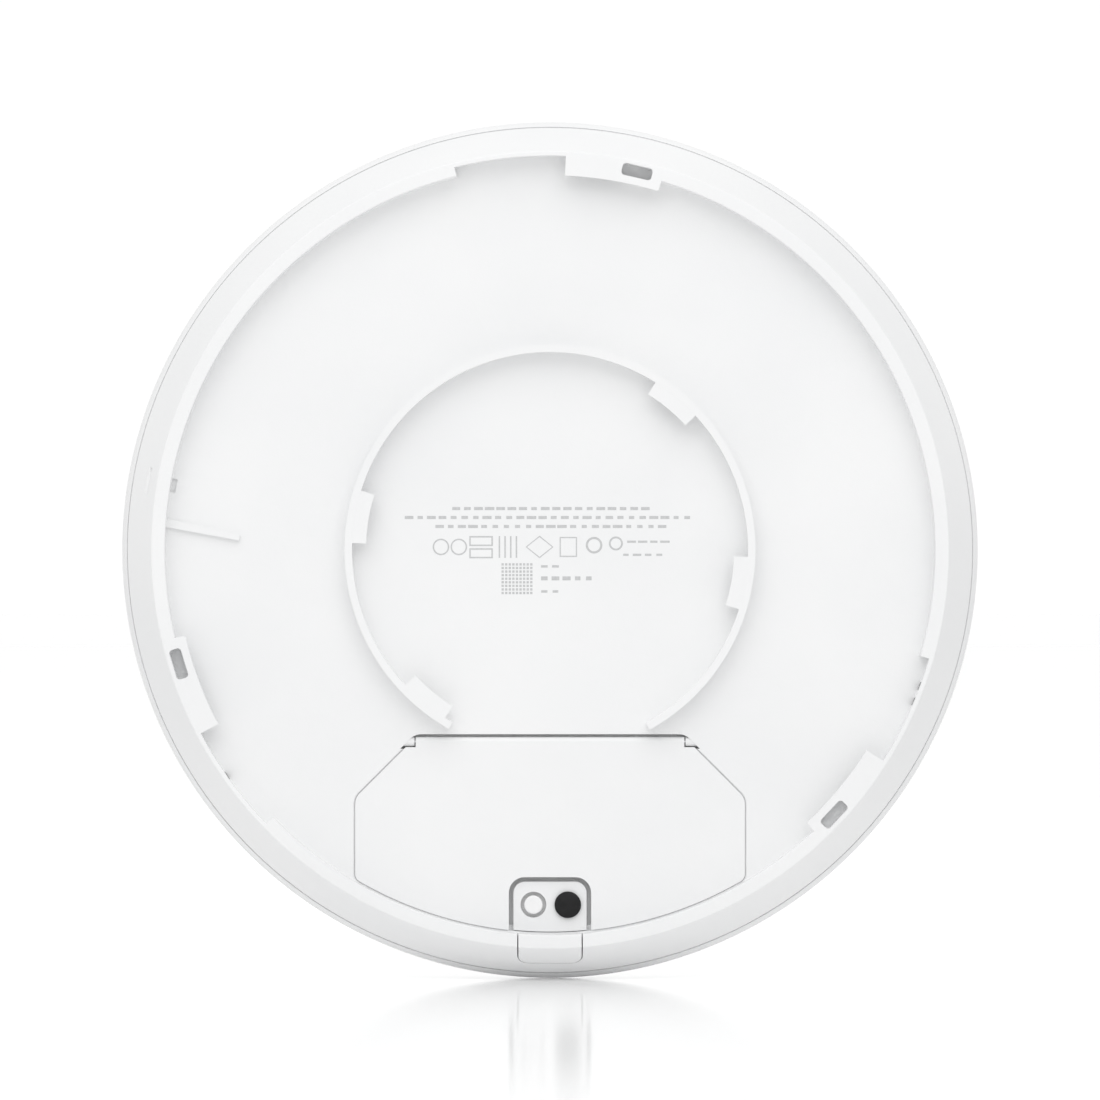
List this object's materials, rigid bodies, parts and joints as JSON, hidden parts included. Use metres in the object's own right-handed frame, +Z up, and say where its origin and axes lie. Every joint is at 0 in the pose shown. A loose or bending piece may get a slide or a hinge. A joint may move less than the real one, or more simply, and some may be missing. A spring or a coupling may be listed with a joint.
{
  "type": "ceiling access point",
  "caption": "Round ceiling-mount wireless access point with a bayonet rear cover, a hinged port door, a reset button, a lift-out cable exit and a light ring on its front dome.",
  "frame": {"origin": "on the disc's axis, in the plane of the rear rim that meets the ceiling bracket", "axes": "-Y is the side that faces the bracket, +Y the front dome; +Z is up with the cable exit at the bottom; +X is to the right as seen from the rear"},
  "size_m": [0.197, 0.035, 0.197],
  "materials": {
    "white_plastic": "fine matte moulding texture",
    "button_plastic": "smooth satin",
    "radome_plastic": "satin",
    "light_diffuser": "milky, translucent",
    "black_rubber": "matte",
    "black_plastic": "matte",
    "circuit_board": "solder mask",
    "steel": "zinc plated",
    "tin_plate": "tin plated",
    "cast_aluminium": "as cast",
    "gold_plate": "gold plated",
    "chip_resin": "matte moulding compound",
    "thermal_pad": "soft, dull",
    "lead_sheath": "satin sheath",
    "led_resin": "clear resin over phosphor"
  },
  "bodies": {
    "housing": {"antenna_1": "tin_plate", "antenna_2": "tin_plate", "antenna_3": "tin_plate", "antenna_4": "tin_plate", "antenna_lead_1": "lead_sheath", "antenna_lead_2": "lead_sheath", "antenna_lead_3": "lead_sheath", "antenna_lead_4": "lead_sheath", "antenna_plate": "tin_plate", "board_screw_1": "steel", "board_screw_2": "steel", "board_screw_3": "steel", "board_screw_4": "steel", "button_bezel": "white_plastic", "button_board": "circuit_board", "capacitor_1": "cast_aluminium", "capacitor_2": "cast_aluminium", "centre_cap": "radome_plastic", "door_hinge_pin": "steel", "ethernet_jack": "tin_plate", "ethernet_magnetics": "chip_resin", "flash_chip": "chip_resin", "front_cover": "radome_plastic", "heat_sink": "cast_aluminium", "jack_contacts": "gold_plate", "led_1": "led_resin", "led_2": "led_resin", "led_3": "led_resin", "led_4": "led_resin", "led_board": "circuit_board", "light_ring": "light_diffuser", "main_board": "circuit_board", "memory_chip": "chip_resin", "plate_screw_1": "steel", "plate_screw_2": "steel", "plate_screw_3": "steel", "plate_screw_4": "steel", "power_controller": "chip_resin", "power_inductor": "black_plastic", "power_transformer": "black_plastic", "processor": "chip_resin", "processor_shield": "tin_plate", "radio_chip": "chip_resin", "radio_shield": "tin_plate", "rear_cover": "white_plastic", "reset_switch": "black_plastic", "standoff_1": "steel", "standoff_2": "steel", "standoff_3": "steel", "standoff_4": "steel", "thermal_pad_processor": "thermal_pad", "thermal_pad_radio": "thermal_pad"},
    "door": {"port_door": "white_plastic"},
    "button": {"reset_button": "button_plastic"},
    "plunger": {"switch_plunger": "black_plastic"},
    "plug": {"service_plug": "black_rubber"},
    "exit_tab": {"cable_exit_tab": "white_plastic"}
  },
  "joints": [
    {"name": "door_hinge", "type": "hinge", "parent": "housing", "child": "door", "pos_m": [0, 0.0066, -0.04395], "axis": [-1, 0, 0], "range_deg": [0, 70]},
    {"name": "reset_press", "type": "slide", "parent": "housing", "child": "button", "axis": [0, 1, 0], "range_m": [0, 0.0003], "stiffness_N_per_m": 300},
    {"name": "plunger_press", "type": "slide", "parent": "housing", "child": "plunger", "axis": [0, 1, 0], "range_m": [0, 0.0003]},
    {"name": "plug_pull", "type": "slide", "parent": "housing", "child": "plug", "axis": [0, -1, 0], "range_m": [0, 0.01]},
    {"name": "exit_tab_lift", "type": "slide", "parent": "housing", "child": "exit_tab", "axis": [0, -1, 0], "range_m": [0, 0.012]}
  ],
  "couplings": [
    {"joint": "plunger_press", "follows": "reset_press", "ratio": 1}
  ]
}
